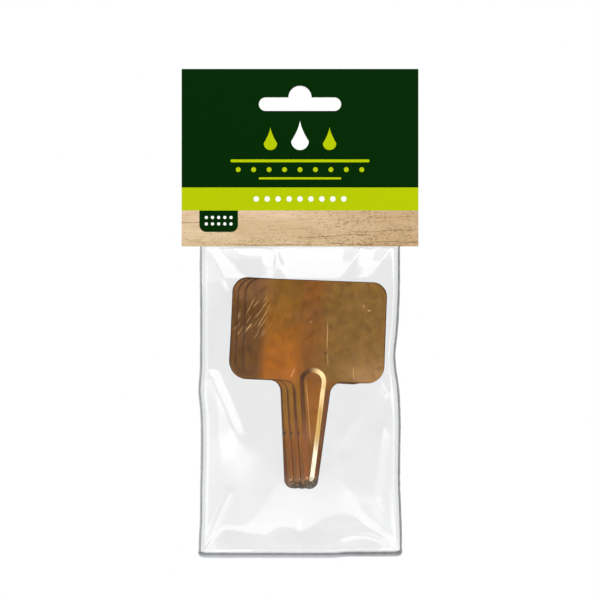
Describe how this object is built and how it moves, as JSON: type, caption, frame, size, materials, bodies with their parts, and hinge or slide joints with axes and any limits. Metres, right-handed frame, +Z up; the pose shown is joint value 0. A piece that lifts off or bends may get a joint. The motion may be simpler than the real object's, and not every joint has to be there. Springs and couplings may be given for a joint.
{
  "type": "plant label stake pack",
  "caption": "Hanging pack of pressed copper T-shaped plant label stakes, fanned loose in a clear film bag under a folded header card with a hang slot.",
  "frame": {"origin": "top of the hang slot's arch, midway through the card's thickness, where a display peg bears", "axes": "+Z up as the pack hangs, +X to the viewer's right, +Y away from the viewer: the pack faces -Y"},
  "size_m": [0.092, 0.0074, 0.1902],
  "materials": {
    "printed_card": "satin print on white board",
    "clear_film": "clear glossy film",
    "glue": "dull",
    "copper": "bright rolled copper, lightly scratched"
  },
  "bodies": {
    "pack": {"header_card": "printed_card", "front_film": "clear_film", "back_film": "clear_film", "edge_weld": "clear_film", "front_glue_strip": "glue", "back_glue_strip": "glue"},
    "stake_01": {"label_01": "copper"},
    "stake_02": {"label_02": "copper"},
    "stake_03": {"label_03": "copper"},
    "stake_04": {"label_04": "copper"},
    "stake_05": {"label_05": "copper"},
    "stake_06": {"label_06": "copper"},
    "stake_07": {"label_07": "copper"},
    "stake_08": {"label_08": "copper"},
    "stake_09": {"label_09": "copper"},
    "stake_10": {"label_10": "copper"}
  },
  "joints": [
    {"name": "stake_01_slide", "type": "slide", "parent": "pack", "child": "stake_01", "axis": [0, 0, 1], "range_m": [-0.018, 0.005]},
    {"name": "stake_02_slide", "type": "slide", "parent": "pack", "child": "stake_02", "axis": [0, 0, 1], "range_m": [-0.018, 0.005]},
    {"name": "stake_03_slide", "type": "slide", "parent": "pack", "child": "stake_03", "axis": [0, 0, 1], "range_m": [-0.018, 0.005]},
    {"name": "stake_04_slide", "type": "slide", "parent": "pack", "child": "stake_04", "axis": [0, 0, 1], "range_m": [-0.018, 0.005]},
    {"name": "stake_05_slide", "type": "slide", "parent": "pack", "child": "stake_05", "axis": [0, 0, 1], "range_m": [-0.018, 0.005]},
    {"name": "stake_06_slide", "type": "slide", "parent": "pack", "child": "stake_06", "axis": [0, 0, 1], "range_m": [-0.018, 0.005]},
    {"name": "stake_07_slide", "type": "slide", "parent": "pack", "child": "stake_07", "axis": [0, 0, 1], "range_m": [-0.018, 0.005]},
    {"name": "stake_08_slide", "type": "slide", "parent": "pack", "child": "stake_08", "axis": [0, 0, 1], "range_m": [-0.018, 0.005]},
    {"name": "stake_09_slide", "type": "slide", "parent": "pack", "child": "stake_09", "axis": [0, 0, 1], "range_m": [-0.018, 0.005]},
    {"name": "stake_10_slide", "type": "slide", "parent": "pack", "child": "stake_10", "axis": [0, 0, 1], "range_m": [-0.018, 0.005]}
  ]
}
